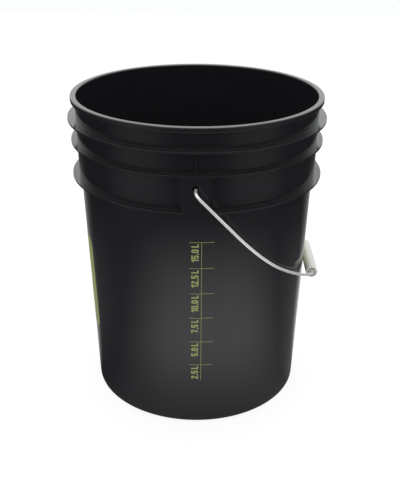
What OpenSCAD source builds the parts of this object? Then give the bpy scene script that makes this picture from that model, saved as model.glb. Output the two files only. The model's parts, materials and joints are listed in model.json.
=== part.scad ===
// Wash bucket: a 20 litre moulded pail with a wire bail, a loose grip and a printed volume scale.
// Z is up, the origin is the centre of the ring it stands on, and the bail hangs down on the +X side.

/* [Tub] */
// Height from the floor that it stands on to the top of the rim
tub_h = 385; // [340:1:420]
// Outer radius of the wall, carried down to the bottom
base_r = 131.6; // [125:0.1:135]
// Outer radius of the body where it meets the lower ring
body_top_r = 142.3; // [140:0.1:143]
// Outer radius of the neck where it leaves the lower ring
neck_r = 144.7; // [143.2:0.1:145]
// Outer radius of the neck at the top
mouth_r = 146.6; // [145.2:0.1:147]
// Wall thickness
wall_t = 2.3; // [1.8:0.1:3]
// Thickness of the floor
floor_t = 3; // [2:0.5:5]
// Height of the hollow under the floor
floor_recess = 5; // [2:0.5:8]
// Radius of the round between the wall and the standing ring
foot_round = 4.5; // [3:0.5:8]
// Width of the flat that the tub stands on
foot_flat_w = 4; // [3:0.5:6]

/* [Rim and rings] */
// Outer radius of the rim bead
rim_r = 151.25; // [149:0.05:153]
// Height of the rim bead
rim_h = 6; // [5:0.5:9]
// Round along the top edge of the bead
rim_round = 1.25; // [1:0.25:2.5]
// Outer radius of the upper ring
upper_ring_r = 155.5; // [153:0.1:158]
// Outer radius of the middle ring, which is also the roof of the ears
middle_ring_r = 152.4; // [151:0.1:154]
// Outer radius of the lower ring
lower_ring_r = 152.5; // [151:0.1:154]
// Height of the top of the upper ring
upper_ring_z = 359.5; // [352:0.5:366]
// Height of the top of the middle ring
middle_ring_z = 332.5; // [328:0.5:338]
// Height of the top of the lower ring
lower_ring_z = 290.5; // [284:0.5:296]
// Thickness of the rings
ring_t = 2.2; // [1.5:0.1:3]

/* [Bail ears] */
// Width of an ear's outer face
ear_w = 27.6; // [26:0.2:34]
// Width of an ear at its root, inside the wall, where its slanting cheeks end
ear_root_w = 40; // [36:0.5:44]
// Radius of an ear's outer face
ear_r = 152.1; // [151:0.1:152.2]
// Thickness of an ear's outer plate and of its cheeks
ear_t = 1.8; // [1.6:0.1:2.2]
// Height of the centre of the ear holes
ear_hole_z = 318.3; // [312:0.1:319]
// Radius of the ear holes
ear_hole_r = 3.55; // [3.5:0.05:3.8]
// Width of the small rib above each ear
ear_rib_w = 1.8; // [1:0.1:3]
// Radius of that rib's outer edge
ear_rib_r = 150; // [146:0.5:151]

/* [Bail] */
// Diameter of the wire
wire_d = 3.3; // [3.2:0.1:3.5]
// Distance from the pivot line to the middle of the grip
bail_reach = 210.5; // [210:0.1:213]
// Distance from the middle plane to the straight legs
leg_y = 166.8; // [165:0.2:174]
// Angle below the horizontal at which the bail hangs
hang_angle = 46.1; // [40:0.1:46.3]
// Bend radius of the shoulders
shoulder_bend_r = 112; // [100:1:120]
// Slope of the wire where a shoulder meets the crown
shoulder_angle = 48.2; // [46:0.1:52]
// Slope of the wire where the crown meets the grip
crown_angle = 30; // [26:0.5:34]
// Bend radius beside the grip
grip_bend_r = 9; // [7:0.5:12]
// Bend radius at the ear
ear_bend_r = 7; // [6:0.5:9]
// Bend radius of the hook behind the ear plate
hook_bend_r = 2.9; // [2.6:0.1:3.4]
// Straight length at the end of the hook
hook_tail = 6; // [4:0.5:7]

/* [Grip] */
// Length of the grip
grip_l = 84; // [70:1:86]
// Diameter of the grip
grip_d = 14.6; // [14:0.1:14.8]
// Diameter of the bore that the wire runs in
grip_bore_d = 4.2; // [4.1:0.05:4.8]
// Chamfer at the ends of the grip
grip_chamfer = 0.8; // [0.4:0.1:1.2]
// Depth of the ring-shaped recess in each end of the grip
grip_recess = 4; // [0.5:0.5:10]

/* [Print] */
// Thickness of the ink
ink_t = 0.2; // [0.1:0.05:0.3]
// Height of the top tick
top_tick_z = 250.6; // [240:0.1:255]
// Distance from one tick to the next
tick_pitch = 32.9; // [30:0.1:34]
// Length of a tick
tick_l = 28; // [20:1:34]
// Distance of the upright line from the middle plane
scale_line_x = 6.8; // [4:0.1:8]
// Width of the printed lines
line_w = 0.5; // [0.4:0.1:2]
// How far the upright line runs on below the last tick
line_tail = 23; // [10:1:30]
// Height of a numeral
digit_h = 8.4; // [6:0.1:10]
// Width of a numeral
digit_w = 4.5; // [3.5:0.1:5.5]
// Stroke of a numeral
stroke = 1.7; // [1:0.1:1.8]
// Lower edge of the side prints
side_print_z0 = 88; // [70:1:100]
// Upper edge of the side prints
side_print_z1 = 214; // [190:1:230]
// Width of the side prints, measured straight across
side_print_w = 79; // [70:1:120]
// Corner radius of the side prints
side_print_corner = 12; // [4:1:20]
// Turn of the pair of side prints about the tub's axis, from the middle of its sides
side_print_turn = 7.1; // [-10:0.1:10]

/* [Hidden] */
NODES = [
    "tub", "bail_wire", "grip", "scale_line",
    "numeral_15_0", "numeral_12_5", "numeral_10_0", "numeral_7_5", "numeral_5_0", "numeral_2_5",
    "side_print_left", "side_print_right"
];
$fn = 120;

// Overlap that makes touching shapes of one moulding a single solid
bond = 0.8;

// Numerals, from the top tick to the bottom one
MARKS = ["15.0 L", "12.5 L", "10.0 L", "7.5 L", "5.0 L", "2.5 L"];
MARK_NODES = [for (i = [0:len(MARKS) - 1]) NODES[4 + i]];

wire_r = wire_d / 2;
grip_r = grip_d / 2;
floor_top_z = floor_recess + floor_t;
floor_round = foot_round + 2;

// The neck is wider than the body: the wall steps out under the lower ring, and inside it slopes out
// over the height of the step
neck_z = lower_ring_z - ring_t;
step_h = 6;

// The wire rests in the bottom of the ear holes with this gap left under it
wire_gap = 0.2;
pivot_z = ear_hole_z - ear_hole_r + wire_r + wire_gap;

// Every other stretch of the wire is this much thinner and runs on into its neighbours by the lap,
// so that the stretches join into one solid
joint_step = 0.02;
joint_lap = 0.2;

// Inside of an ear plate, and the line on which the tail of the hook lies in the pocket
ear_inner_r = ear_r - ear_t;
hook_y = (wall_r(pivot_z) + ear_inner_r) / 2 - 0.1;
ear_z0 = lower_ring_z - 1.5;
ear_z1 = middle_ring_z - ring_t;

// The crown's bend radius carries the wire from beside the grip out to the legs
flat_half = grip_l / 2 + 1.5;
crown_bend_r = (leg_y - flat_half - grip_bend_r * sin(crown_angle)
    - shoulder_bend_r * (1 - sin(shoulder_angle))) / (sin(shoulder_angle) - sin(crown_angle));
leg_l = bail_reach - grip_bend_r * (1 - cos(crown_angle))
    - crown_bend_r * (cos(crown_angle) - cos(shoulder_angle))
    - shoulder_bend_r * cos(shoulder_angle) - ear_bend_r;
eye_l = leg_y - ear_bend_r - hook_y - hook_bend_r;

// The wire from the end of the straight inside the grip to the end of the hook.
// Each move is [length, 0] for a straight or [bend radius, angle] for a bend to the left.
BAIL_MOVES = [
    [grip_bend_r, crown_angle],
    [crown_bend_r, shoulder_angle - crown_angle],
    [shoulder_bend_r, 90 - shoulder_angle],
    [leg_l, 0],
    [ear_bend_r, 90],
    [eye_l, 0],
    [hook_bend_r, 90],
    [hook_tail, 0]
];

// Outer radius of the wall at height z
function wall_r(z) = z < neck_z ?
    base_r + (body_top_r - base_r) * z / neck_z :
    neck_r + (mouth_r - neck_r) * (z - neck_z) / (tub_h - neck_z);

// Points along an arc from angle a0 to angle a1
function arc(centre, r, a0, a1, steps = 8) = [
    for (i = [0:steps]) centre + r * [cos(a0 + (a1 - a0) * i / steps), sin(a0 + (a1 - a0) * i / steps)]
];

// ---- Tub ----

// Wall and floor as one section, with the round corners inside and outside
module shell() {
    inner_foot_r = base_r - foot_round - foot_flat_w;
    floor_r = wall_r(floor_top_z + floor_round) - wall_t - floor_round;
    top_z = tub_h - 1;
    rotate_extrude()
        polygon(concat(
            [
                [0, floor_recess],
                [inner_foot_r - floor_recess, floor_recess],
                [inner_foot_r, 0]
            ],
            arc([base_r - foot_round, foot_round], foot_round, -90, 0),
            [
                [body_top_r, neck_z],
                [neck_r, neck_z],
                [mouth_r, top_z],
                [mouth_r - wall_t, top_z],
                [wall_r(neck_z + step_h) - wall_t, neck_z + step_h],
                [body_top_r - wall_t, neck_z]
            ],
            arc([floor_r, floor_top_z + floor_round], floor_round, 0, -90),
            [[0, floor_top_z]]
        ));
}

// Bead round the mouth, rounded above, with a straight side for a lid's skirt
module rim_bead() {
    inner_r = mouth_r - wall_t;
    inner_round = 1;
    edge = 1;
    rotate_extrude()
        polygon(concat(
            [
                [inner_r, tub_h - rim_h],
                [rim_r - edge, tub_h - rim_h],
                [rim_r, tub_h - rim_h + edge]
            ],
            arc([rim_r - rim_round, tub_h - rim_round], rim_round, 0, 90),
            arc([inner_r + inner_round, tub_h - inner_round], inner_round, 90, 180, 4)
        ));
}

// Thin flat ring round the neck, with its outer edge broken a little
module ring(outer_r, top_z) {
    edge = 0.5;
    inner_r = wall_r(top_z) - bond;
    rotate_extrude()
        polygon([
            [inner_r, top_z - ring_t],
            [outer_r - edge, top_z - ring_t],
            [outer_r, top_z - ring_t + edge],
            [outer_r, top_z - edge],
            [outer_r - edge, top_z],
            [inner_r, top_z]
        ]);
}

// Block on the front between two heights, from the wall out to radius r, of width root_w inside the
// wall and of width face_w at the radius of the ears' faces
module front_block(face_w, root_w, z0, z1, r) {
    intersection() {
        rotate_extrude()
            polygon([[wall_r(z0) - bond, z0], [r, z0], [r, z1], [wall_r(z1) - bond, z1]]);
        translate([0, 0, z0 - 1])
            linear_extrude(height = z1 - z0 + 2)
                front_plan(face_w, root_w);
    }
}

// Plan of a block on the front: slanting sides as far as the ears' faces, then straight on outwards
module front_plan(face_w, root_w) {
    root_y = wall_r(ear_z0) - 3;
    outer_y = ear_r + 4;
    polygon([
        [-root_w / 2, -root_y],
        [root_w / 2, -root_y],
        [face_w / 2, -ear_r],
        [face_w / 2, -outer_y],
        [-face_w / 2, -outer_y],
        [-face_w / 2, -ear_r]
    ]);
}

// Room inside an ear: the same plan, inside the cheeks
module pocket_plan() {
    front_plan(ear_w - 2 * ear_t, ear_root_w - 2 * ear_t);
}

// Hollow ear, open below, with a round hole for the wire
module ear() {
    roof_t = ear_t - 0.5;
    hole_l = 12;
    difference() {
        front_block(ear_w, ear_root_w, ear_z0, ear_z1 + bond, ear_r);
        intersection() {
            cylinder(r = ear_inner_r, h = ear_z1 - roof_t);
            linear_extrude(height = tub_h)
                pocket_plan();
        }
        translate([0, -ear_r, ear_hole_z])
            rotate([90, 0, 0])
                cylinder(r = ear_hole_r, h = hole_l, center = true);
    }
}

// Small upright rib from the roof of an ear to the upper ring
module ear_rib() {
    z0 = middle_ring_z - bond;
    z1 = upper_ring_z - ring_t + bond;
    front_block(ear_rib_w, ear_rib_w, z0, z1, ear_rib_r);
}

module tub() {
    color("#26272a")
        union() {
            shell();
            rim_bead();
            ring(upper_ring_r, upper_ring_z);
            ring(middle_ring_r, middle_ring_z);
            difference() {
                ring(lower_ring_r, lower_ring_z);
                for (side = [0, 1])
                    mirror([0, side, 0])
                        translate([0, 0, lower_ring_z - ring_t - 1])
                            linear_extrude(height = ring_t + 2)
                                pocket_plan();
            }
            for (side = [0, 1])
                mirror([0, side, 0]) {
                    ear();
                    ear_rib();
                }
        }
}

// ---- Bail and grip ----

// Bend of the wire from the origin, where it runs along +X, to the left
module wire_bend(bend_r, turn, thin) {
    lap = thin ? joint_lap / bend_r * 180 / PI : 0;
    translate([0, bend_r, 0])
        rotate(-90 - lap)
            rotate_extrude(angle = turn + 2 * lap)
                translate([bend_r, 0])
                    circle(r = thin ? wire_r - joint_step : wire_r, $fn = 32);
}

// Follows the moves from the origin, starting along +X
module run_wire(moves, i = 0) {
    if (i < len(moves)) {
        size = moves[i][0];
        turn = moves[i][1];
        if (turn == 0) {
            rotate([0, 90, 0])
                cylinder(r = wire_r, h = size, $fn = 32);
            translate([size, 0, 0])
                run_wire(moves, i + 1);
        } else {
            wire_bend(size, turn, i % 2 == 0);
            translate([size * sin(turn), size * (1 - cos(turn)), 0])
                rotate(turn)
                    run_wire(moves, i + 1);
        }
    }
}

// Places what is drawn on a level bail, with its grip at +X, into the hanging position
module hang() {
    translate([0, 0, pivot_z])
        rotate([0, hang_angle, 0])
            children();
}

module bail_wire() {
    color("#c9ccce")
        hang()
            translate([bail_reach, 0, 0]) {
                rotate([90, 0, 0])
                    cylinder(r = wire_r, h = 2 * flat_half, center = true, $fn = 32);
                for (side = [0, 1])
                    mirror([0, side, 0])
                        translate([0, flat_half, 0])
                            rotate(90)
                                run_wire(BAIL_MOVES);
            }
}

// Solid of the grip along Z, centred, before its bore and end recesses are taken out
module grip_body() {
    half = grip_l / 2;
    rotate_extrude()
        polygon([
            [0, -half],
            [grip_r - grip_chamfer, -half],
            [grip_r, -half + grip_chamfer],
            [grip_r, half - grip_chamfer],
            [grip_r - grip_chamfer, half],
            [0, half]
        ]);
}

module grip() {
    sleeve_r = grip_bore_d / 2 + 1.4;
    tube_inner_r = grip_r - 1.8;
    color("#dcdcd2")
        hang()
            translate([bail_reach, 0, 0])
                rotate([90, 0, 0])
                    difference() {
                        grip_body();
                        cylinder(d = grip_bore_d, h = grip_l + 2, center = true);
                        for (end = [-1, 1])
                            translate([0, 0, end * grip_l / 2])
                                difference() {
                                    cylinder(r = tube_inner_r, h = 2 * grip_recess, center = true);
                                    cylinder(r = sleeve_r, h = 2 * grip_recess + 1, center = true);
                                }
                    }
}

// ---- Print ----

// Layer of ink on the wall between two heights, cut to the outline that is drawn in X and Z
module ink(z0, z1) {
    color("#b4c13c")
        intersection() {
            rotate_extrude()
                polygon([
                    [wall_r(z0), z0],
                    [wall_r(z0) + ink_t, z0],
                    [wall_r(z1) + ink_t, z1],
                    [wall_r(z1), z1]
                ]);
            rotate([90, 0, 0])
                linear_extrude(height = rim_r)
                    children();
        }
}

// Bar from corner to corner
module bar(x0, y0, x1, y1) {
    translate([x0, y0])
        square([x1 - x0, y1 - y0]);
}

// Part of a ring between two angles
module bow(centre, r_out, r_in, a0, a1) {
    polygon(concat(arc(centre, r_out, a0, a1, 10), arc(centre, r_in, a1, a0, 10)));
}

module glyph_0() {
    r = digit_w / 2;
    bow([r, digit_h - r], r, r - stroke, 0, 180);
    bow([r, r], r, r - stroke, 180, 360);
    for (x = [0, digit_w - stroke])
        bar(x, r - 0.01, x + stroke, digit_h - r + 0.01);
}

module glyph_1() {
    x = digit_w * 0.45;
    polygon([
        [x, 0],
        [x + stroke, 0],
        [x + stroke, digit_h],
        [x, digit_h],
        [0.4, digit_h - 1.6],
        [0.4, digit_h - 3.2],
        [x, digit_h - 1.9]
    ]);
}

module glyph_2() {
    r = digit_w / 2;
    bow([r, digit_h - r], r, r - stroke, 0, 170);
    bar(0, 0, digit_w, stroke);
    polygon([
        [0, stroke - 0.01],
        [stroke * 1.2, stroke - 0.01],
        [digit_w, digit_h - r + 0.01],
        [digit_w - stroke, digit_h - r + 0.01]
    ]);
}

module glyph_5() {
    r = digit_w / 2;
    top = r + 0.9;
    bow([r, r], r, r - stroke, -170, 0);
    bar(digit_w - stroke, r - 0.01, digit_w, top + 0.01);
    bow([r, top], r, r - stroke, 0, 110);
    bar(0, digit_h - stroke, digit_w, digit_h);
    bar(0, top + 0.6, stroke, digit_h - stroke + 0.01);
    bar(stroke - 0.1, top + 0.6, r, top + r - 0.1);
}

module glyph_7() {
    bar(0, digit_h - stroke, digit_w, digit_h);
    polygon([
        [digit_w * 0.25, 0],
        [digit_w * 0.25 + stroke, 0],
        [digit_w, digit_h - stroke + 0.01],
        [digit_w - stroke, digit_h - stroke + 0.01]
    ]);
}

module glyph_L() {
    bar(0, 0, stroke, digit_h);
    bar(stroke - 0.01, 0, digit_w * 0.9, stroke);
}

module glyph(letter) {
    if (letter == "0") glyph_0();
    if (letter == "1") glyph_1();
    if (letter == "2") glyph_2();
    if (letter == "5") glyph_5();
    if (letter == "7") glyph_7();
    if (letter == "L") glyph_L();
    if (letter == ".") bar(0, 0, stroke, stroke);
}

// Distance that a character moves the next one on
function advance(letter) =
    letter == "." ? stroke + 0.6 :
    letter == " " ? 1.6 :
    letter == "1" ? digit_w * 0.45 + stroke + 0.8 : digit_w + 0.7;

// Length of the first count characters of a line
function run_length(line, count) = count == 0 ? 0 : run_length(line, count - 1) + advance(line[count - 1]);

// Height of a tick, counted from the top
function tick_z(i) = top_tick_z - i * tick_pitch;

// Numeral under a tick, read upwards, with its foot towards the upright line
module numeral(i) {
    line = MARKS[i];
    gap = 1;
    length = run_length(line, len(line));
    top = tick_z(i) - gap;
    ink(top - length - 1, top + 1)
        translate([scale_line_x - 3.2, top - length])
            rotate(90)
                for (k = [0:len(line) - 1])
                    translate([run_length(line, k), 0])
                        glyph(line[k]);
}

// Upright line with its ticks
module scale_line() {
    bottom = tick_z(len(MARKS) - 1) - line_tail;
    top = top_tick_z + line_w / 2;
    ink(bottom - 1, top + 1) {
        bar(scale_line_x - line_w / 2, bottom, scale_line_x + line_w / 2, top);
        for (i = [0:len(MARKS) - 1])
            translate([scale_line_x - tick_l / 2, tick_z(i) - line_w / 2])
                square([tick_l, line_w]);
    }
}

// Rounded panel with a drop and two waves left open in it
module side_print_outline() {
    half = side_print_w / 2;
    mid_z = (side_print_z0 + side_print_z1) / 2;
    c = side_print_corner;
    drop_r = 17;
    drop_z = mid_z + 4;
    difference() {
        polygon(concat(
            arc([half - c, side_print_z1 - c], c, 0, 90),
            arc([-half + c, side_print_z1 - c], c, 90, 180),
            arc([-half + c, side_print_z0 + c], c, 180, 270),
            arc([half - c, side_print_z0 + c], c, 270, 360)
        ));
        polygon(concat(
            arc([0, drop_z], drop_r, -210, 30, 24),
            [[0, drop_z + 2 * drop_r]]
        ));
        for (low = [14, 24])
            wave(side_print_z0 + low, half - 14);
    }
}

// Wavy band of even height about a level line
module wave(z, half) {
    band = 4;
    swell = 2.5;
    steps = 24;
    xs = [for (i = [0:steps]) -half + 2 * half * i / steps];
    polygon(concat(
        [for (x = xs) [x, z + swell * sin(x * 360 / half)]],
        [for (i = [steps:-1:0]) [xs[i], z + band + swell * sin(xs[i] * 360 / half)]]
    ));
}

// Side print, carried round from the front by the angle
module side_print(angle) {
    rotate(angle + side_print_turn)
        ink(side_print_z0 - 1, side_print_z1 + 1)
            side_print_outline();
}

module side_print_left() {
    side_print(-90);
}

module side_print_right() {
    side_print(90);
}

tub();
bail_wire();
grip();
scale_line();
for (i = [0:len(MARKS) - 1])
    numeral(i);
side_print_left();
side_print_right();
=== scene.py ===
import json
import math

import bmesh
import bpy
from mathutils import Matrix, Vector


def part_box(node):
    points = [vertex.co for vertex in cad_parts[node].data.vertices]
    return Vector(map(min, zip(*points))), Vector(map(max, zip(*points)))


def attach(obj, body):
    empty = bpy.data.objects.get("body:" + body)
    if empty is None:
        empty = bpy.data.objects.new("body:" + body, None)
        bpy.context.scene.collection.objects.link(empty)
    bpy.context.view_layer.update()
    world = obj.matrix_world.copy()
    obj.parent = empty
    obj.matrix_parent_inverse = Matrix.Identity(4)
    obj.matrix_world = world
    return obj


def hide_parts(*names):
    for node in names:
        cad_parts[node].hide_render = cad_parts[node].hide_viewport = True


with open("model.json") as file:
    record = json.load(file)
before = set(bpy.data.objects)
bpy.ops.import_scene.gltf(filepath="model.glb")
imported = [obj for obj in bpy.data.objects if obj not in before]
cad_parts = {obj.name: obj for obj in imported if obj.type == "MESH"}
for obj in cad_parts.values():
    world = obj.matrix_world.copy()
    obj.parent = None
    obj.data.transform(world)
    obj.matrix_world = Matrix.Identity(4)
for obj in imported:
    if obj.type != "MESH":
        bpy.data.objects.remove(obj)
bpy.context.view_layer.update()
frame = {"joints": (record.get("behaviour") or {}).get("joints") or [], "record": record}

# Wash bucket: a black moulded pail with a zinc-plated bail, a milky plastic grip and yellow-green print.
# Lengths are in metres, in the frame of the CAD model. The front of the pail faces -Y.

MM = 0.001

# ---- Sizes that the frame gives ----

JOINTS = {joint["name"]: joint for joint in frame["joints"]}
MOUNTS = {mount["name"]: mount for mount in frame["record"]["mounts"]}
TUB_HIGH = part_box("tub")[1]

TUB_H = TUB_HIGH.z
UPPER_RING_R = TUB_HIGH.x
RIM_R = MOUNTS["rim_bead"]["dims"]["r_mm"] * MM
FLOOR_TOP_Z = MOUNTS["floor_inside"]["pos_m"][2]
PIVOT = Vector(JOINTS["bail_pivot"]["pos_m"])
GRIP_MID = Vector(JOINTS["grip_spin"]["pos_m"])
GRIP_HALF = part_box("grip")[1].y
BAIL_REACH = (GRIP_MID - PIVOT).length
HANG_ANGLE = math.atan2(PIVOT.z - GRIP_MID.z, GRIP_MID.x - PIVOT.x)

# ---- Tub sizes ----

BASE_R = 131.6 * MM
BODY_TOP_R = 142.3 * MM
NECK_R = 144.7 * MM
MOUTH_R = 146.6 * MM
WALL_T = 2.3 * MM
STEP_H = 6 * MM
STEP_ROUND = 2 * MM
FLOOR_RECESS = 5 * MM
FLOOR_ROUND = 6.5 * MM
RECESS_ROUND = 1.5 * MM
FOOT_ROUND = 4.5 * MM
FOOT_INNER_ROUND = 0.8 * MM
FOOT_FLAT_W = 4 * MM
RIM_H = 6 * MM
RIM_ROUND = 1.25 * MM
RIM_UNDER_ROUND = 1 * MM
LIP_ROUND = 1.6 * MM
RING_T = 2.2 * MM
RING_EDGE = 0.2 * MM
RING_ROOT = 0.3 * MM
RINGS = (
    (152.5 * MM, 290.5 * MM),
    (152.4 * MM, 332.5 * MM),
    (UPPER_RING_R, 359.5 * MM),
)
LOWER_RING_R, LOWER_RING_Z = RINGS[0]
MIDDLE_RING_Z = RINGS[1][1]
UPPER_RING_Z = RINGS[2][1]
NECK_Z = LOWER_RING_Z - RING_T
TUB_TURNS = 288

# ---- Ear sizes ----

EAR_W = 27.6 * MM
EAR_ROOT_W = 40 * MM
EAR_R = 152.1 * MM
EAR_T = 1.8 * MM
EAR_EDGE = 0.35 * MM
EAR_HOLE_R = 3.55 * MM
EAR_HOLE_Z = 318.3 * MM
EAR_LOW = LOWER_RING_Z - 1.5 * MM
EAR_HIGH = MIDDLE_RING_Z - RING_T
EAR_SECTOR = math.radians(10)
EAR_STEPS = 40
POCKET_TOP = EAR_HIGH - EAR_T + 0.5 * MM
RIB_W = 1.8 * MM
RIB_R = 150 * MM
RIB_SECTOR = math.radians(2)
RIB_STEPS = 4

# How far solids that are joined reach into each other, and how far cutters reach past what they cut
OVERLAP = 1 * MM
EAR_OVERLAP = 2 * MM
PLAN_OVERLAP = 3 * MM
POCKET_OVERLAP = 8 * MM
SKIN = 0.05 * MM
PAST = 2 * MM
PLAN_PAST = 4 * MM
ROOM_PAST = 5 * MM
FAR_PAST = 9 * MM

# ---- Bail and grip sizes ----

WIRE_R = 1.65 * MM
WIRE_TIP = 0.5 * MM
WIRE_SIDES = 24
LEG_Y = 166.8 * MM
GRIP_PLAY = 1.5 * MM
GRIP_BEND_R = 9 * MM
CROWN_ANGLE = math.radians(30)
SHOULDER_ANGLE = math.radians(48.2)
SHOULDER_BEND_R = 112 * MM
EAR_BEND_R = 7 * MM
HOOK_BEND_R = 2.9 * MM
HOOK_INSET = 0.1 * MM
HOOK_TAIL = 6 * MM
STRAIGHT_STEP = 4 * MM
BEND_STEP = 3 * MM
UV_LENGTH = 10 * MM

GRIP_R = 7.3 * MM
GRIP_BORE_R = 2.1 * MM
GRIP_T = 1.8 * MM
SLEEVE_T = 1.4 * MM
GRIP_RECESS = 4 * MM
GRIP_TURNS = 96

# ---- Print sizes ----

INK_T = 0.08 * MM
INK_STEP = 1 * MM
LINE_W = 0.5 * MM
LINE_X = 6.8 * MM
LINE_TAIL = 23 * MM
TICK_TOP_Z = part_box("scale_line")[1].z - LINE_W / 2
TICK_PITCH = 32.9 * MM
TICK_L = 28 * MM
MARKS = ("15.0 L", "12.5 L", "10.0 L", "7.5 L", "5.0 L", "2.5 L")
NUMERAL_X = LINE_X - 3.2 * MM
NUMERAL_DROP = 1 * MM

DIGIT_H = 8.4 * MM
DIGIT_W = 4.5 * MM
STROKE = 1.7 * MM
DIGIT_R = DIGIT_W / 2
HOLLOW_R = DIGIT_R - STROKE
ONE_X = DIGIT_W * 0.45
WORD_GAP = 1.6 * MM
DIGIT_GAP = 0.7 * MM
ONE_GAP = 0.8 * MM
DOT_GAP = 0.6 * MM

SIDE_LOW, SIDE_HIGH = (corner.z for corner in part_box("side_print_left"))
SIDE_PRINT_W = 79 * MM
SIDE_PRINT_CORNER = 12 * MM
SIDE_PRINT_TURN = math.radians(7.1)
DROP_R = 17 * MM
DROP_RISE = 4 * MM
WAVE_RISES = (14 * MM, 24 * MM)
WAVE_MARGIN = 14 * MM
WAVE_H = 2.5 * MM
WAVE_T = 4 * MM
WAVE_STEPS = 48


def body_r(z):
    """Outer radius of the body at height z."""
    return BASE_R + (BODY_TOP_R - BASE_R) * z / NECK_Z


def neck_r(z):
    """Outer radius of the neck at height z."""
    return NECK_R + (MOUTH_R - NECK_R) * (z - NECK_Z) / (TUB_H - NECK_Z)


def wall_r(z):
    """Outer radius of the tub's wall at height z."""
    return body_r(z) if z < NECK_Z else neck_r(z)


# ---- Mesh helpers ----

SHARP_ANGLE = math.radians(32)
SHARP_ANGLE_FINE = math.radians(40)
WELD = 1e-7
INK_WELD = 1e-6
ON_AXIS = 1e-9


def link(mesh, name):
    """New object that shows the mesh."""
    piece = bpy.data.objects.new(name, mesh)
    bpy.context.scene.collection.objects.link(piece)
    return piece


def face_out(mesh, weld=0):
    """Joins points that are closer than weld and turns all faces out."""
    shape = bmesh.new()
    shape.from_mesh(mesh)
    if weld:
        bmesh.ops.remove_doubles(shape, verts=shape.verts, dist=weld)
    bmesh.ops.recalc_face_normals(shape, faces=shape.faces)
    shape.to_mesh(mesh)
    shape.free()


def mesh_from(name, points, faces):
    """Object from points and faces, with its faces turned out."""
    mesh = bpy.data.meshes.new(name)
    mesh.from_pydata([tuple(p) for p in points], [], faces)
    face_out(mesh, WELD)
    return link(mesh, name)


def apply_modifiers(piece):
    """Makes what the modifiers give the piece's own mesh."""
    graph = bpy.context.evaluated_depsgraph_get()
    made = bpy.data.meshes.new_from_object(piece.evaluated_get(graph))
    piece.modifiers.clear()
    piece.data = made
    return piece


def boolean(piece, other, operation):
    """Joins other to the piece or cuts with it, and removes other."""
    cut = piece.modifiers.new(operation, "BOOLEAN")
    cut.operation = operation
    cut.solver = "EXACT"
    cut.object = other
    apply_modifiers(piece)
    bpy.data.objects.remove(other)
    return piece


def smooth(piece, sharp=SHARP_ANGLE):
    """Smooth shading that keeps edges sharper than the angle, with flat areas kept flat."""
    piece.data.shade_smooth()
    piece.data.set_sharp_from_angle(angle=sharp)
    weights = piece.modifiers.new("normals", "WEIGHTED_NORMAL")
    weights.keep_sharp = True
    weights.weight = 100
    return apply_modifiers(piece)


def rounded(corners):
    """Outline through (a, b, radius, steps) corners, each one rounded to its radius."""
    outline = []
    for i, (a, b, radius, steps) in enumerate(corners):
        here = Vector((a, b))
        if radius == 0:
            outline.append(here)
            continue
        back = (Vector(corners[i - 1][:2]) - here).normalized()
        on = (Vector(corners[(i + 1) % len(corners)][:2]) - here).normalized()
        half = back.angle(on) / 2
        reach = radius / math.tan(half)
        centre = here + (back + on).normalized() * (radius / math.sin(half))
        start = here + back * reach - centre
        sweep_angle = math.pi - 2 * half
        turn = sweep_angle if back.x * on.y - back.y * on.x < 0 else -sweep_angle
        for k in range(steps + 1):
            outline.append(centre + Matrix.Rotation(turn * k / steps, 2) @ start)
    return outline


def revolve(name, outline, turns, closed=True):
    """Turns an (r, z) outline about Z. Points on the axis become one point each."""
    points, index = [], {}

    def vertex(i, k):
        r, z = outline[i]
        key = (i, 0) if r < ON_AXIS else (i, k % turns)
        if key not in index:
            index[key] = len(points)
            angle = 2 * math.pi * key[1] / turns
            points.append((r * math.sin(angle), -r * math.cos(angle), z))
        return index[key]

    faces = []
    spans = range(len(outline)) if closed else range(len(outline) - 1)
    for i in spans:
        j = (i + 1) % len(outline)
        for k in range(turns):
            ring = (vertex(i, k), vertex(i, k + 1), vertex(j, k + 1), vertex(j, k))
            face = tuple(dict.fromkeys(ring))
            if len(face) > 2:
                faces.append(face)
    return mesh_from(name, points, faces)


def prism(name, plan, low, high):
    """Upright prism over an (x, y) plan."""
    count = len(plan)
    points = [(x, y, z) for z in (low, high) for x, y in plan]
    faces = [tuple(range(count)), tuple(range(count, 2 * count))]
    faces += [(k, (k + 1) % count, (k + 1) % count + count, k + count) for k in range(count)]
    return mesh_from(name, points, faces)


def tube_sector(name, inner, outer, low, high, half_angle=EAR_SECTOR, steps=EAR_STEPS):
    """Upright part of a tube about the front, between two radii, two heights and two angles."""
    points, faces = [], []
    for k in range(steps + 1):
        angle = -half_angle + 2 * half_angle * k / steps
        for r, z in ((inner, low), (outer, low), (outer, high), (inner, high)):
            points.append((r * math.sin(angle), -r * math.cos(angle), z))
    for k in range(steps):
        for a in range(4):
            b = (a + 1) % 4
            faces.append((4 * k + a, 4 * k + b, 4 * k + 4 + b, 4 * k + 4 + a))
    faces += [(0, 1, 2, 3), tuple(4 * steps + a for a in range(4))]
    return mesh_from(name, points, faces)


# ---- Materials ----

BLACK_LOW = (0.0118, 0.0124, 0.0140)
BLACK_HIGH = (0.0138, 0.0144, 0.0160)
SCUFF_GREY = (0.05, 0.05, 0.052)
INK_LOW = (0.256, 0.282, 0.088)
INK_HIGH = (0.312, 0.339, 0.110)
INK_WORN = (0.09, 0.10, 0.02)
ZINC_LOW = (0.84, 0.85, 0.86)
ZINC_HIGH = (0.96, 0.96, 0.96)
ZINC_DULL = (0.45, 0.45, 0.44)
MILKY_LOW = (0.62, 0.62, 0.585)
MILKY_HIGH = (0.70, 0.695, 0.655)
MIDDLE_OF_NOISE = (0.3, 0.7)


def new_material(name):
    """Node material: itself, its tree and its Principled shader."""
    material = bpy.data.materials.new(name)
    material.use_nodes = True
    tree = material.node_tree
    return material, tree, tree.nodes["Principled BSDF"]


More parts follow.
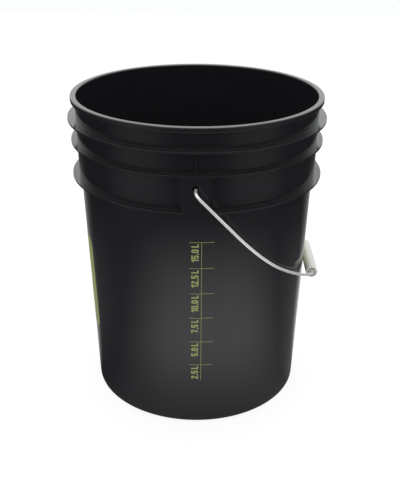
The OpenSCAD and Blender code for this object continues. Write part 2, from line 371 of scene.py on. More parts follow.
def add(tree, kind, **settings):
    """Node of a kind, with its properties set."""
    node = tree.nodes.new(kind)
    for key, value in settings.items():
        setattr(node, key, value)
    return node


def coordinates(tree, scale=(1, 1, 1)):
    """The piece's own coordinates, scaled along each axis."""
    source = add(tree, "ShaderNodeTexCoord")
    mapping = add(tree, "ShaderNodeMapping")
    mapping.inputs["Scale"].default_value = scale
    tree.links.new(source.outputs["Object"], mapping.inputs["Vector"])
    return mapping.outputs["Vector"]


def noise(tree, vector, scale, detail, roughness=0.55):
    """Noise texture's factor."""
    node = add(tree, "ShaderNodeTexNoise")
    node.inputs["Scale"].default_value = scale
    node.inputs["Detail"].default_value = detail
    node.inputs["Roughness"].default_value = roughness
    tree.links.new(vector, node.inputs["Vector"])
    return node.outputs["Fac"]


def remap(tree, value, taken, given, kind="LINEAR"):
    """Value taken from one (low, high) range into another, clamped."""
    node = add(tree, "ShaderNodeMapRange", clamp=True, interpolation_type=kind)
    for key, number in zip(("From Min", "From Max", "To Min", "To Max"), (*taken, *given)):
        node.inputs[key].default_value = number
    tree.links.new(value, node.inputs["Value"])
    return node.outputs["Result"]


def maths(tree, operation, first, second=0):
    """Math node of two values, either of which may be a plain number."""
    node = add(tree, "ShaderNodeMath", operation=operation)
    for socket, value in zip(node.inputs, (first, second)):
        if isinstance(value, (int, float)):
            socket.default_value = value
        else:
            tree.links.new(value, socket)
    return node.outputs["Value"]


def product(tree, first, *others):
    """Product of values."""
    for other in others:
        first = maths(tree, "MULTIPLY", first, other)
    return first


def mix_colours(tree, factor, first, second):
    """Colour between two, by a factor that varies over the surface."""
    node = add(tree, "ShaderNodeMix", data_type="RGBA")
    tree.links.new(factor, node.inputs[0])
    for socket, value in ((node.inputs[6], first), (node.inputs[7], second)):
        if isinstance(value, tuple):
            socket.default_value = (*value, 1)
        else:
            tree.links.new(value, socket)
    return node.outputs[2]


def bump(tree, shader, height, distance, strength):
    """Bump from a height, joined to the shader's normal."""
    node = add(tree, "ShaderNodeBump")
    node.inputs["Strength"].default_value = strength
    node.inputs["Distance"].default_value = distance
    tree.links.new(height, node.inputs["Height"])
    tree.links.new(node.outputs["Normal"], shader.inputs["Normal"])


def black_plastic():
    """Glossy black polyethylene: faint moulding texture, uneven gloss and light scuffs."""
    material, tree, shader = new_material("black_plastic")
    place = coordinates(tree)
    cloud = noise(tree, place, scale=14, detail=3)
    grain = noise(tree, place, scale=950, detail=2)
    drag = noise(tree, coordinates(tree, (260, 260, 7)), scale=1, detail=5, roughness=0.65)
    scuff = remap(tree, drag, (0.66, 0.8), (0, 1))
    colour = mix_colours(tree, cloud, BLACK_LOW, BLACK_HIGH)
    colour = mix_colours(tree, product(tree, scuff, 0.35), colour, SCUFF_GREY)
    tree.links.new(colour, shader.inputs["Base Color"])
    rough = remap(tree, cloud, MIDDLE_OF_NOISE, (0.1, 0.14))
    rough = maths(tree, "ADD", rough, product(tree, scuff, 0.12))
    tree.links.new(rough, shader.inputs["Roughness"])
    shader.inputs["IOR"].default_value = 1.5
    height = maths(tree, "ADD", product(tree, grain, 0.6), product(tree, cloud, 1.5))
    bump(tree, shader, height, distance=0.03 * MM, strength=0.5)
    return material


def ink():
    """Screen-printed yellow-green ink, a little thin in places."""
    material, tree, shader = new_material("ink")
    place = coordinates(tree)
    patch = noise(tree, place, scale=60, detail=4)
    pin = remap(tree, noise(tree, place, scale=1400, detail=2), (0.7, 0.76), (0, 1))
    colour = mix_colours(tree, patch, INK_LOW, INK_HIGH)
    colour = mix_colours(tree, product(tree, pin, 0.7), colour, INK_WORN)
    tree.links.new(colour, shader.inputs["Base Color"])
    tree.links.new(remap(tree, patch, MIDDLE_OF_NOISE, (0.38, 0.5)), shader.inputs["Roughness"])
    bump(tree, shader, noise(tree, place, scale=2200, detail=2), distance=0.02 * MM, strength=0.4)
    return material


def zinc_wire():
    """Bright zinc plate on drawn wire: fine lines along it and cloudy patches."""
    material, tree, shader = new_material("zinc_wire")
    uv = add(tree, "ShaderNodeUVMap", uv_map="along")
    lines = add(tree, "ShaderNodeMapping")
    lines.inputs["Scale"].default_value = (60, 0.9, 1)
    tree.links.new(uv.outputs["UV"], lines.inputs["Vector"])
    drawn = noise(tree, lines.outputs["Vector"], scale=1, detail=4, roughness=0.6)
    patch = noise(tree, coordinates(tree), scale=130, detail=4)
    dull = remap(tree, noise(tree, coordinates(tree), scale=900, detail=3), (0.62, 0.75), (0, 0.5))
    colour = mix_colours(tree, patch, ZINC_LOW, ZINC_HIGH)
    colour = mix_colours(tree, dull, colour, ZINC_DULL)
    tree.links.new(colour, shader.inputs["Base Color"])
    shader.inputs["Metallic"].default_value = 0.6
    rough = remap(tree, patch, MIDDLE_OF_NOISE, (0.2, 0.32))
    rough = maths(tree, "ADD", rough, product(tree, drawn, 0.1))
    tree.links.new(rough, shader.inputs["Roughness"])
    bump(tree, shader, drawn, distance=0.03 * MM, strength=0.35)
    return material


def milky_plastic():
    """Unpigmented polyethylene: cloudy, waxy and slightly see-through."""
    material, tree, shader = new_material("milky_plastic")
    place = coordinates(tree)
    cloud = noise(tree, place, scale=90, detail=3)
    tree.links.new(mix_colours(tree, cloud, MILKY_LOW, MILKY_HIGH), shader.inputs["Base Color"])
    tree.links.new(remap(tree, cloud, MIDDLE_OF_NOISE, (0.34, 0.46)), shader.inputs["Roughness"])
    shader.inputs["Subsurface Weight"].default_value = 0.75
    shader.inputs["Subsurface Radius"].default_value = (1.0, 0.95, 0.8)
    shader.inputs["Subsurface Scale"].default_value = 3 * MM
    bump(tree, shader, noise(tree, place, scale=700, detail=3), distance=0.03 * MM, strength=0.4)
    return material


# ---- Tub ----

def ring_corners(ring_r, top):
    """Section of a ring, from its underside to its top. The lower one covers the step to the neck."""
    low = top - RING_T
    under_r = body_r(low) if top == LOWER_RING_Z else neck_r(low)
    return [
        (under_r, low, RING_ROOT, 4),
        (ring_r, low, RING_EDGE, 4),
        (ring_r, top, RING_EDGE, 4),
        (wall_r(top), top, RING_ROOT, 4),
    ]


def tub_outline():
    """Section of the tub from the axis under the floor, round the outside and back in along the floor."""
    inner_foot_r = BASE_R - FOOT_ROUND - FOOT_FLAT_W
    floor_r = wall_r(FLOOR_TOP_Z) - WALL_T
    rim_z = TUB_H - RIM_H
    step_z = NECK_Z + STEP_H
    corners = [
        (0, FLOOR_RECESS, 0, 0),
        (inner_foot_r - FLOOR_RECESS, FLOOR_RECESS, RECESS_ROUND, 4),
        (inner_foot_r, 0, FOOT_INNER_ROUND, 3),
        (BASE_R, 0, FOOT_ROUND, 10),
    ]
    for ring_r, top in RINGS:
        corners += ring_corners(ring_r, top)
    corners += [
        (wall_r(rim_z), rim_z, RING_ROOT, 4),
        (RIM_R, rim_z, RIM_UNDER_ROUND, 4),
        (RIM_R, TUB_H, RIM_ROUND, 8),
        (MOUTH_R - WALL_T, TUB_H, LIP_ROUND, 8),
        (neck_r(step_z) - WALL_T, step_z, STEP_ROUND, 4),
        (BODY_TOP_R - WALL_T, NECK_Z, STEP_ROUND, 4),
        (floor_r, FLOOR_TOP_Z, FLOOR_ROUND, 12),
        (0, FLOOR_TOP_Z, 0, 0),
    ]
    return rounded(corners)


def front_plan(face_w, root_w):
    """Plan of a block on the front, with slanting sides as far out as the ears' faces."""
    root_y = wall_r(EAR_LOW) - PLAN_OVERLAP
    outer_y = EAR_R + PLAN_PAST
    return [
        (-root_w / 2, -root_y),
        (root_w / 2, -root_y),
        (face_w / 2, -EAR_R),
        (face_w / 2, -outer_y),
        (-face_w / 2, -outer_y),
        (-face_w / 2, -EAR_R),
    ]


def pocket_plan():
    """Plan of the room in an ear."""
    return front_plan(EAR_W - 2 * EAR_T, EAR_ROOT_W - 2 * EAR_T)


def ear_pocket():
    """Room in an ear, which cuts it open below and towards the wall."""
    inner_r = wall_r(EAR_LOW) - POCKET_OVERLAP
    room = tube_sector("room", inner_r, EAR_R - EAR_T, EAR_LOW - ROOM_PAST, POCKET_TOP)
    walls = prism("pocket", pocket_plan(), EAR_LOW - FAR_PAST, EAR_HIGH + FAR_PAST)
    return boolean(room, walls, "INTERSECT")


def ear_hole():
    """Round cutter through the face of an ear."""
    outline = [(0, -FAR_PAST), (EAR_HOLE_R, -FAR_PAST), (EAR_HOLE_R, FAR_PAST), (0, FAR_PAST)]
    hole = revolve("hole", [Vector(point) for point in outline], 48, closed=False)
    lay_down = Matrix.Rotation(math.pi / 2, 4, "X")
    hole.data.transform(Matrix.Translation((0, -EAR_R, EAR_HOLE_Z)) @ lay_down)
    return hole


def ear():
    """Hollow ear, open below, with a round hole for the wire and broken edges."""
    block = tube_sector("ear", wall_r(EAR_HIGH) - EAR_OVERLAP, EAR_R, EAR_LOW, EAR_HIGH + OVERLAP)
    plan = front_plan(EAR_W, EAR_ROOT_W)
    boolean(block, prism("plan", plan, EAR_LOW - ROOM_PAST, EAR_HIGH + ROOM_PAST), "INTERSECT")
    boolean(block, ear_pocket(), "DIFFERENCE")
    boolean(block, ear_hole(), "DIFFERENCE")
    edges = block.modifiers.new("edges", "BEVEL")
    edges.width = EAR_EDGE
    edges.segments = 3
    edges.limit_method = "ANGLE"
    edges.angle_limit = SHARP_ANGLE
    return apply_modifiers(block)


def ring_gap():
    """Cutter that leaves the lower ring open inside an ear."""
    gap = tube_sector("gap", wall_r(LOWER_RING_Z) + SKIN, LOWER_RING_R + OVERLAP, NECK_Z - PAST,
                      LOWER_RING_Z + PAST)
    return boolean(gap, prism("plan", pocket_plan(), 0, TUB_H), "INTERSECT")


def upper_rib():
    """Small upright rib from the roof of an ear to the upper ring."""
    rib = prism("rib", front_plan(RIB_W, RIB_W), MIDDLE_RING_Z - OVERLAP, UPPER_RING_Z - RING_T + OVERLAP)
    reach = tube_sector("reach", wall_r(MIDDLE_RING_Z) - OVERLAP, RIB_R, MIDDLE_RING_Z - PAST, UPPER_RING_Z,
                        RIB_SECTOR, RIB_STEPS)
    return boolean(rib, reach, "INTERSECT")


def build_tub(material):
    """The moulding with its two ears."""
    tub = revolve("tub_moulding", tub_outline(), TUB_TURNS, closed=False)
    for turn in (0, math.pi):
        spin = Matrix.Rotation(turn, 4, "Z")
        for make, operation in ((ring_gap, "DIFFERENCE"), (ear, "UNION"), (upper_rib, "UNION")):
            other = make()
            other.data.transform(spin)
            boolean(tub, other, operation)
    smooth(tub)
    tub.data.materials.clear()
    tub.data.materials.append(material)
    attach(tub, "tub")
    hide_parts("tub")


# ---- Bail ----

def bail_moves():
    """Straights (length, 0) and bends (radius, angle) of the wire's +Y half, from its middle on."""
    flat_half = GRIP_HALF + GRIP_PLAY
    spread = (LEG_Y - flat_half - GRIP_BEND_R * math.sin(CROWN_ANGLE)
              - SHOULDER_BEND_R * (1 - math.sin(SHOULDER_ANGLE)))
    crown_r = spread / (math.sin(SHOULDER_ANGLE) - math.sin(CROWN_ANGLE))
    leg = (BAIL_REACH - GRIP_BEND_R * (1 - math.cos(CROWN_ANGLE))
           - crown_r * (math.cos(CROWN_ANGLE) - math.cos(SHOULDER_ANGLE))
           - SHOULDER_BEND_R * math.cos(SHOULDER_ANGLE) - EAR_BEND_R)
    hook_y = (wall_r(PIVOT.z) + EAR_R - EAR_T) / 2 - HOOK_INSET
    eye = LEG_Y - EAR_BEND_R - hook_y - HOOK_BEND_R
    return (
        (flat_half, 0),
        (GRIP_BEND_R, CROWN_ANGLE),
        (crown_r, SHOULDER_ANGLE - CROWN_ANGLE),
        (SHOULDER_BEND_R, math.pi / 2 - SHOULDER_ANGLE),
        (leg, 0),
        (EAR_BEND_R, math.pi / 2),
        (eye, 0),
        (HOOK_BEND_R, math.pi / 2),
        (HOOK_TAIL, 0),
    )


def straight(start, heading, length):
    """Points on from a start along a heading."""
    steps = max(2, round(length / STRAIGHT_STEP))
    along = Vector((math.cos(heading), -math.sin(heading)))
    return [start + along * length * k / steps for k in range(1, steps + 1)]


def bend(start, heading, radius, turn):
    """Points on from a start round a bend."""
    steps = max(8, round(radius * turn / BEND_STEP))
    centre = start + radius * Vector((-math.sin(heading), -math.cos(heading)))
    angles = [heading + turn * k / steps for k in range(1, steps + 1)]
    return [centre + radius * Vector((math.sin(angle), math.cos(angle))) for angle in angles]


def bail_path():
    """Centreline of the wire's +Y half, as (y, s) with s the distance from the pivot line."""
    path, heading = [Vector((0, BAIL_REACH))], 0.0
    for size, turn in bail_moves():
        if turn == 0:
            path += straight(path[-1], heading, size)
        else:
            path += bend(path[-1], heading, size, turn)
        heading += turn
    return path


def on_bail(y, s):
    """Point of the hanging bail's plane."""
    return PIVOT + Vector((s * math.cos(HANG_ANGLE), y, -s * math.sin(HANG_ANGLE)))


def stations_along(path):
    """Place, direction and radius of each section of the wire, with its ends broken."""
    stations = []
    for i, here in enumerate(path):
        back = path[max(i - 1, 0)]
        on = path[min(i + 1, len(path) - 1)]
        stations.append((here, (on - back).normalized(), WIRE_R))
    start, ahead = stations[0][:2]
    end, onward = stations[-1][:2]
    stations[0] = (start + ahead * WIRE_TIP, ahead, WIRE_R)
    stations[-1] = (end - onward * WIRE_TIP, onward, WIRE_R)
    tip_r = WIRE_R - WIRE_TIP
    return [(start, ahead, tip_r), *stations, (end, onward, tip_r)]


def wire_points(stations, normal):
    """Points round each section of a wire that lies in a plane with this normal."""
    points = []
    for here, along, r in stations:
        across = normal.cross(along).normalized()
        for k in range(WIRE_SIDES):
            angle = 2 * math.pi * k / WIRE_SIDES
            points.append(here + r * (math.cos(angle) * across + math.sin(angle) * normal))
    return points


def wire_faces(stations):
    """Faces of the wire, each with its map of (share of the girth, length) corners."""
    far = [0.0]
    for a, b in zip(stations, stations[1:]):
        far.append(far[-1] + (b[0] - a[0]).length)
    faces, maps = [], []
    for i in range(len(stations) - 1):
        near_row, next_row = i * WIRE_SIDES, (i + 1) * WIRE_SIDES
        for k in range(WIRE_SIDES):
            n = (k + 1) % WIRE_SIDES
            faces.append((near_row + k, near_row + n, next_row + n, next_row + k))
            low, high = k / WIRE_SIDES, (k + 1) / WIRE_SIDES
            maps.append(((low, far[i]), (high, far[i]), (high, far[i + 1]), (low, far[i + 1])))
    for i in (0, len(stations) - 1):
        faces.append(tuple(range(i * WIRE_SIDES, (i + 1) * WIRE_SIDES)))
        maps.append(tuple((k / WIRE_SIDES, far[i]) for k in range(WIRE_SIDES)))
    return faces, maps


def sweep(name, path, normal):
    """Round wire along points that lie in a plane, with a UV map of its length."""
    stations = stations_along(path)
    faces, maps = wire_faces(stations)
    mesh = bpy.data.meshes.new(name)
    mesh.from_pydata([tuple(p) for p in wire_points(stations, normal)], [], faces)
    layer = mesh.uv_layers.new(name="along")
    for polygon, corners in zip(mesh.polygons, maps):
        for loop, (around, length) in zip(polygon.loop_indices, corners):
            layer.data[loop].uv = (around, length / UV_LENGTH)
    face_out(mesh)
    return link(mesh, name)


def build_bail(material):
    """The bent wire, hanging on the +X side."""
    half = bail_path()
    path = [on_bail(-y, s) for y, s in reversed(half)] + [on_bail(y, s) for y, s in half[1:]]
    normal = Vector((math.sin(HANG_ANGLE), 0, math.cos(HANG_ANGLE)))
    wire = sweep("bail_wire_plated", path, normal)
    smooth(wire, SHARP_ANGLE_FINE)
    wire.data.materials.append(material)
    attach(wire, "bail")
    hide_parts("bail_wire")


# ---- Grip ----

def grip_outline():
    """Section of the grip: a tube with rounded ends, ring-shaped end recesses and a bore."""
    half = GRIP_HALF
    recess_z = half - GRIP_RECESS
    sleeve_r = GRIP_BORE_R + SLEEVE_T
    tube_inner_r = GRIP_R - GRIP_T
    upper = [
        (GRIP_R, half, 0.8 * MM, 5),
        (tube_inner_r, half, 0.4 * MM, 3),
        (tube_inner_r, recess_z, 0.5 * MM, 3),
        (sleeve_r, recess_z, 0.5 * MM, 3),
        (sleeve_r, half, 0.3 * MM, 3),
        (GRIP_BORE_R, half, 0.3 * MM, 3),
    ]
    lower = [(r, -z, radius, steps) for r, z, radius, steps in reversed(upper)]
    return rounded(upper + lower)


def build_grip(material):
    """The grip, lying along Y on the bail's middle."""
    grip = revolve("grip_tube", grip_outline(), GRIP_TURNS)
    grip.data.transform(Matrix.Translation(GRIP_MID) @ Matrix.Rotation(math.pi / 2, 4, "X"))
    smooth(grip)
    grip.data.materials.append(material)
    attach(grip, "grip")
    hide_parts("grip")


# ---- Print ----

def fill(outlines):
    """Flat mesh inside closed outlines, with inner outlines left open."""
    curve = bpy.data.curves.new("fill", "CURVE")
    curve.dimensions = "2D"
    curve.fill_mode = "BOTH"
    for outline in outlines:
        spline = curve.splines.new("POLY")
        spline.points.add(len(outline) - 1)
        for point, (x, z) in zip(spline.points, outline):
            point.co = (x, z, 0, 1)
        spline.use_cyclic_u = True
    holder = link(curve, "fill")
    graph = bpy.context.evaluated_depsgraph_get()
    mesh = bpy.data.meshes.new_from_object(holder.evaluated_get(graph))
    bpy.data.objects.remove(holder)
    return mesh


def slice_across(shape, step):
    """Cuts a flat mesh into strips, so that it can follow the wall."""
    low = min(v.co.x for v in shape.verts)
    high = max(v.co.x for v in shape.verts)
    for k in range(1, math.ceil((high - low) / step)):
        everything = list(shape.verts) + list(shape.edges) + list(shape.faces)
        bmesh.ops.bisect_plane(shape, geom=everything, plane_co=(low + k * step, 0, 0), plane_no=(1, 0, 0))


def print_on_wall(name, outlines, turn, material, node):
    """Ink inside outlines drawn in X and Z on the front, laid on the wall and turned about Z."""
    shape = bmesh.new()
    for group in outlines:
        shape.from_mesh(fill(group))
    bmesh.ops.remove_doubles(shape, verts=shape.verts, dist=INK_WELD)
    slice_across(shape, INK_STEP)
    raised = bmesh.ops.extrude_face_region(shape, geom=list(shape.faces))
    top = {v for v in raised["geom"] if isinstance(v, bmesh.types.BMVert)}
    for v in shape.verts:
        x, z = v.co.x, v.co.y
        r = wall_r(z) + (INK_T if v in top else -INK_T / 2)
        angle = math.asin(x / wall_r(z)) + turn
        v.co = (r * math.sin(angle), -r * math.cos(angle), z)
    bmesh.ops.recalc_face_normals(shape, faces=shape.faces)
    mesh = bpy.data.meshes.new(name)
    shape.to_mesh(mesh)
    shape.free()
    piece = link(mesh, name)
    smooth(piece, SHARP_ANGLE_FINE)
    piece.data.materials.append(material)
    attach(piece, "tub")
    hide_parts(node)


def arc(centre, radius, start, end, steps):
    """Points of an arc, by angles in degrees."""
    angles = [math.radians(start + (end - start) * k / steps) for k in range(steps + 1)]
    return [(centre[0] + radius * math.cos(a), centre[1] + radius * math.sin(a)) for a in angles]


# Each character stands on the origin, as groups of an outer outline and its openings.

def zero():
    high, low = (DIGIT_R, DIGIT_H - DIGIT_R), (DIGIT_R, DIGIT_R)
    outer = arc(high, DIGIT_R, 0, 180, 14) + arc(low, DIGIT_R, 180, 360, 14)
    hollow = arc(high, HOLLOW_R, 0, 180, 10) + arc(low, HOLLOW_R, 180, 360, 10)
    return [[outer, hollow]]


def one():
    flag_x, flag_high, flag_low, flag_root = 0.4 * MM, 1.6 * MM, 3.2 * MM, 1.9 * MM
    stem = [(ONE_X, 0), (ONE_X + STROKE, 0), (ONE_X + STROKE, DIGIT_H), (ONE_X, DIGIT_H)]
    flag = [(flag_x, DIGIT_H - flag_high), (flag_x, DIGIT_H - flag_low), (ONE_X, DIGIT_H - flag_root)]
    return [[stem + flag]]


def two():
    centre = (DIGIT_R, DIGIT_H - DIGIT_R)
    outer_knee, inner_knee = centre[1] - 0.3 * MM, centre[1] - 0.2 * MM
    bowl = arc(centre, DIGIT_R, 175, 0, 14)
    foot = [(DIGIT_W, outer_knee), (STROKE * 1.25, STROKE), (DIGIT_W, STROKE), (DIGIT_W, 0), (0, 0),
            (0, STROKE * 0.9), (DIGIT_W - STROKE, inner_knee)]
    return [[bowl + foot + arc(centre, HOLLOW_R, 0, 175, 10)]]


def five():
    low, high = (DIGIT_R, DIGIT_R), (DIGIT_R, DIGIT_R + 0.9 * MM)
    bar_low = high[1] + 0.2 * MM
    bowl = arc(low, DIGIT_R, -170, 0, 12) + arc(high, DIGIT_R, 0, 100, 8)
    flag = [(STROKE, high[1] + DIGIT_R - 0.3 * MM), (STROKE, DIGIT_H - STROKE), (DIGIT_W, DIGIT_H - STROKE),
            (DIGIT_W, DIGIT_H), (0, DIGIT_H), (0, bar_low), (STROKE * 0.8, bar_low)]
    hollow = arc(high, HOLLOW_R, 110, 0, 6) + arc(low, HOLLOW_R, 0, -170, 10)
    return [[bowl + flag + hollow]]


def seven():
    foot_x = DIGIT_W * 0.25
    return [[[(foot_x, 0), (foot_x + STROKE, 0), (DIGIT_W, DIGIT_H - STROKE), (DIGIT_W, DIGIT_H),
              (0, DIGIT_H), (0, DIGIT_H - STROKE), (DIGIT_W - STROKE, DIGIT_H - STROKE)]]]


def litre():
    foot_w = DIGIT_W * 0.9
    return [[[(0, 0), (foot_w, 0), (foot_w, STROKE), (STROKE, STROKE), (STROKE, DIGIT_H), (0, DIGIT_H)]]]


def dot():
    return [[[(0, 0), (STROKE, 0), (STROKE, STROKE), (0, STROKE)]]]


GLYPHS = {"0": zero, "1": one, "2": two, "5": five, "7": seven, "L": litre, ".": dot, " ": list}
ADVANCES = {".": STROKE + DOT_GAP, " ": WORD_GAP, "1": ONE_X + STROKE + ONE_GAP}


def advance(letter):
    """Distance that a character moves the next one on."""
    return ADVANCES.get(letter, DIGIT_W + DIGIT_GAP)


def numeral(line, tick_z):
    """Groups of outlines for a numeral under its tick, read upwards."""
    start = tick_z - NUMERAL_DROP - sum(advance(letter) for letter in line)
    groups = []
    for letter in line:
        for group in GLYPHS[letter]():
            groups.append([[(NUMERAL_X - y, start + x) for x, y in outline] for outline in group])
        start += advance(letter)
    return groups


def scale_outline(tick_heights):
    """The upright line and its ticks as one outline."""
    half = LINE_W / 2
    left, right = LINE_X - half, LINE_X + half
    tick_left, tick_right = LINE_X - TICK_L / 2, LINE_X + TICK_L / 2
    foot_z = tick_heights[-1] - LINE_TAIL
    outline = [(left, foot_z), (right, foot_z)]
    for z in reversed(tick_heights):
        outline += [(right, z - half), (tick_right, z - half), (tick_right, z + half), (right, z + half)]
    for z in tick_heights:
        outline += [(left, z + half), (tick_left, z + half), (tick_left, z - half), (left, z - half)]
    return outline


def panel_outline():
    """Rounded rectangle of the side print."""
    c = SIDE_PRINT_CORNER
    x, low, high = SIDE_PRINT_W / 2 - c, SIDE_LOW + c, SIDE_HIGH - c
    outline = []
    for quarter, centre in enumerate(((x, high), (-x, high), (-x, low), (x, low))):
        outline += arc(centre, c, 90 * quarter, 90 * quarter + 90, 12)
    return outline


def wave_outline(rise):
    """Wavy band across the side print."""
    reach = SIDE_PRINT_W / 2 - WAVE_MARGIN
    xs = [-reach + 2 * reach * k / WAVE_STEPS for k in range(WAVE_STEPS + 1)]
    edge = [(x, SIDE_LOW + rise + WAVE_H * math.sin(2 * math.pi * x / reach)) for x in xs]
    return edge + [(x, z + WAVE_T) for x, z in reversed(edge)]


def side_outlines():
    """Rounded panel with a drop and two waves left open in it."""
    drop_z = (SIDE_LOW + SIDE_HIGH) / 2 + DROP_RISE
    drop = arc((0, drop_z), DROP_R, -210, 30, 40) + [(0, drop_z + 2 * DROP_R)]
    waves = [wave_outline(rise) for rise in WAVE_RISES]
    return [[panel_outline(), drop, *waves]]


def build_print(material):
    """The volume scale on the front and the prints on both sides."""
    ticks = [TICK_TOP_Z - k * TICK_PITCH for k in range(len(MARKS))]
    print_on_wall("scale_line_ink", [[scale_outline(ticks)]], 0, material, "scale_line")
    for line, z in zip(MARKS, ticks):
        node = "numeral_" + line.split()[0].replace(".", "_")
        print_on_wall(node + "_ink", numeral(line, z), 0, material, node)
    for side, turn in (("left", -math.pi / 2), ("right", math.pi / 2)):
        node = "side_print_" + side
        print_on_wall(node + "_ink", side_outlines(), turn + SIDE_PRINT_TURN, material, node)


# ---- Studio ----

FLOOR_HALF = 3.0
FLOOR_LOW = (0.13, 0.13, 0.13)
FLOOR_HIGH = (0.15, 0.15, 0.15)
FLOOR_GLOW = 0.87
CARD_HALF = 3.0
CARD_Z = 2 * MM
# Colour of the painted shade that the pail's gloss shows in the card
PAINTED_SHADE_GREY = (0.004, 0.004, 0.005)

LIGHT_PLACE = (0, 0.2, 2.2)
LIGHT_SIZE = 1.4
LIGHT_POWER = 22
SKY_COLOUR = (0.97, 0.99, 1.0)

CAMERA_PLACE = (0.0073, -0.9463, 0.6252)
CAMERA_PITCH = math.radians(24.858)
CAMERA_YAW = -0.0030
CAMERA_ROLL = 0.0069
CAMERA_LENS = 59.8
CAMERA_SENSOR = 36

# Soft steps of the light, as the range over which a value changes and what it changes from and to.
# Distances are from the pail's axis and bearings, in degrees, from its front towards +X. The sky's
# steps are over the Z and Y of the direction.
FRONT_BEARING = 10
FRONT_SPREAD = (19, 83), (0.97, 0.07)
FRONT_NEAR = (0.11, 0.3), (0.25, 1)
FRONT_FAR = (0.32, 0.72), (1, 0.02)
SIDE_BEARING = 95
SIDE_SPREAD = (10, 50), (0.15, 0)
SIDE_FAR = (0.3, 0.7), (1, 0.1)
BACK_SPREAD = (12, 54), (0.38, 0)
BACK_NEAR = (0.25, 0.55), (2.4, 1)
BACK_FAR = (0.75, 0.95), (1, 0.25)
BACK_TURN = TUB_H * 0.3
WING_BEARING = 52
WING_SPREAD = (4, 42), (0.2, 0)
WING_FAR = (0.55, 0.85), (0, 1)
SKY_FROM_FLOOR = (0.05, 0.2), (1.0, 1.3)
SKY_TO_BACK = (0.35, 0.8), (0.4, 1)
SKY_OVERHEAD = (0.4, 0.7), (0, 1)


def ease(tree, value, step):
    """Value taken through a soft step."""
    return remap(tree, value, *step, kind="SMOOTHSTEP")


def ease_angle(tree, off, step):
    """Soft step over an angle, whose range is in degrees."""
    degrees, given = step
    return ease(tree, off, ([math.radians(a) for a in degrees], given))


def square(name, half, z, material):
    """Level square about the origin."""
    corners = [(x, y, z) for x, y in ((-half, -half), (half, -half), (half, half), (-half, half))]
    piece = mesh_from(name, corners, [(0, 1, 2, 3)])
    piece.data.materials.append(material)
    return piece


def build_stage():
    """Pale light table."""
    material, tree, shader = new_material("studio_floor")
    tone = mix_colours(tree, noise(tree, coordinates(tree), scale=3, detail=2), FLOOR_LOW, FLOOR_HIGH)
    tree.links.new(tone, shader.inputs["Base Color"])
    shader.inputs["Roughness"].default_value = 0.9
    shader.inputs["Specular IOR Level"].default_value = 0
    shader.inputs["Emission Color"].default_value = (1, 1, 1, 1)
    shader.inputs["Emission Strength"].default_value = FLOOR_GLOW
    square("studio_floor", FLOOR_HALF, 0, material)


def floor_polar(tree):
    """Distance from the pail's axis, and bearing from its front."""
    place = add(tree, "ShaderNodeSeparateXYZ")
    tree.links.new(add(tree, "ShaderNodeTexCoord").outputs["Object"], place.inputs["Vector"])
    x, y = place.outputs["X"], place.outputs["Y"]
    squares = maths(tree, "ADD", product(tree, x, x), product(tree, y, y))
    return maths(tree, "POWER", squares, 0.5), maths(tree, "ARCTAN2", x, product(tree, y, -1.0))


def spread(tree, bearing, middle, step):
    """Soft step over the angle off a bearing."""
    off = maths(tree, "ABSOLUTE", maths(tree, "SUBTRACT", bearing, math.radians(middle)))
    return ease_angle(tree, off, step)


def card_openings(tree):
    """How far the card is open, which sets where the pail's gloss shows painted reflection of the bright
    floor and where painted shade: wide at the front, faint at the side, the back and the wings.
    """
    distance, bearing = floor_polar(tree)
    reach = product(tree, ease(tree, distance, FRONT_NEAR), ease(tree, distance, FRONT_FAR))
    front = product(tree, spread(tree, bearing, FRONT_BEARING, FRONT_SPREAD), reach)
    side = product(tree, spread(tree, bearing, SIDE_BEARING, SIDE_SPREAD), ease(tree, distance, SIDE_FAR))
    either = maths(tree, "ABSOLUTE", bearing)
    off_back = maths(tree, "SUBTRACT", math.pi, either)
    off_back = maths(tree, "SUBTRACT", off_back, maths(tree, "DIVIDE", BACK_TURN, distance))
    back = product(tree, ease_angle(tree, off_back, BACK_SPREAD), ease(tree, distance, BACK_NEAR),
                   ease(tree, distance, BACK_FAR))
    wings = product(tree, spread(tree, either, WING_BEARING, WING_SPREAD), ease(tree, distance, WING_FAR))
    return maths(tree, "MAXIMUM", maths(tree, "MAXIMUM", front, back), maths(tree, "MAXIMUM", side, wings))


def build_shade():
    """Grey card just over the floor with soft openings, a painted reflection. Only the gloss of the pail
    sees it: dark painted shade, with the floor's glow showing through the openings.
    """
    material, tree, shader = new_material("shade")
    tree.nodes.remove(shader)
    clear = add(tree, "ShaderNodeBsdfTransparent")
    dark = add(tree, "ShaderNodeEmission")
    dark.inputs["Color"].default_value = (*PAINTED_SHADE_GREY, 1)
    mix = add(tree, "ShaderNodeMixShader")
    tree.links.new(card_openings(tree), mix.inputs["Fac"])
    tree.links.new(dark.outputs["Emission"], mix.inputs[1])
    tree.links.new(clear.outputs["BSDF"], mix.inputs[2])
    tree.links.new(mix.outputs["Shader"], tree.nodes["Material Output"].inputs["Surface"])
    card = square("shade", CARD_HALF, CARD_Z, material)
    card.visible_camera = False
    card.visible_diffuse = False
    card.visible_transmission = False
    card.visible_shadow = False


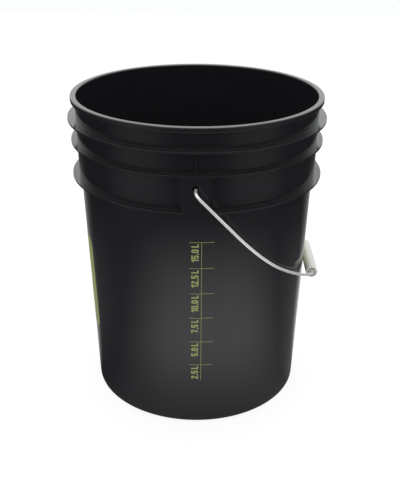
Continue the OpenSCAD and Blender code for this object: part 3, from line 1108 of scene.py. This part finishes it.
def build_top_light():
    """Soft square light over the pail, aimed at its middle."""
    data = bpy.data.lights.new("top_light", "AREA")
    data.shape = "RECTANGLE"
    data.size = LIGHT_SIZE
    data.size_y = LIGHT_SIZE
    data.energy = LIGHT_POWER
    lamp = link(data, "top_light")
    lamp.location = LIGHT_PLACE
    ahead = Vector((0, 0, TUB_H / 2)) - Vector(LIGHT_PLACE)
    lamp.rotation_euler = ahead.to_track_quat("-Z", "Y").to_euler()


def build_sky():
    """Soft sky, dimmer low down except behind the pail, and white as a backdrop."""
    world = bpy.data.worlds.new("studio")
    world.use_nodes = True
    tree = world.node_tree
    sky = add(tree, "ShaderNodeSeparateXYZ")
    tree.links.new(add(tree, "ShaderNodeTexCoord").outputs["Generated"], sky.inputs["Vector"])
    low_sky = ease(tree, sky.outputs["Z"], SKY_FROM_FLOOR)
    behind = ease(tree, sky.outputs["Y"], SKY_TO_BACK)
    overhead = ease(tree, sky.outputs["Z"], SKY_OVERHEAD)
    strength = product(tree, low_sky, maths(tree, "MAXIMUM", behind, overhead))
    backdrop = add(tree, "ShaderNodeLightPath").outputs["Is Camera Ray"]
    strength = maths(tree, "MAXIMUM", strength, backdrop)
    tree.links.new(strength, tree.nodes["Background"].inputs["Strength"])
    tree.nodes["Background"].inputs["Color"].default_value = (*SKY_COLOUR, 1)
    bpy.context.scene.world = world


def build_camera():
    """Camera in front of the pail, above it and looking down at it."""
    level = math.cos(CAMERA_PITCH)
    ahead = Vector((math.sin(CAMERA_YAW) * level, math.cos(CAMERA_YAW) * level, -math.sin(CAMERA_PITCH)))
    right = ahead.cross(Vector((0, 0, 1))).normalized()
    up = right.cross(ahead)
    turned_right = math.cos(CAMERA_ROLL) * right + math.sin(CAMERA_ROLL) * up
    turned_up = math.cos(CAMERA_ROLL) * up - math.sin(CAMERA_ROLL) * right
    data = bpy.data.cameras.new("camera")
    data.sensor_width = CAMERA_SENSOR
    data.lens = CAMERA_LENS
    camera = link(data, "camera")
    aim = Matrix((turned_right, turned_up, -ahead)).transposed().to_4x4()
    camera.matrix_world = Matrix.Translation(Vector(CAMERA_PLACE)) @ aim
    bpy.context.scene.camera = camera


build_tub(black_plastic())
build_bail(zinc_wire())
build_grip(milky_plastic())
build_print(ink())
build_stage()
build_shade()
build_top_light()
build_sky()
build_camera()
bpy.context.scene.view_settings.view_transform = "Standard"
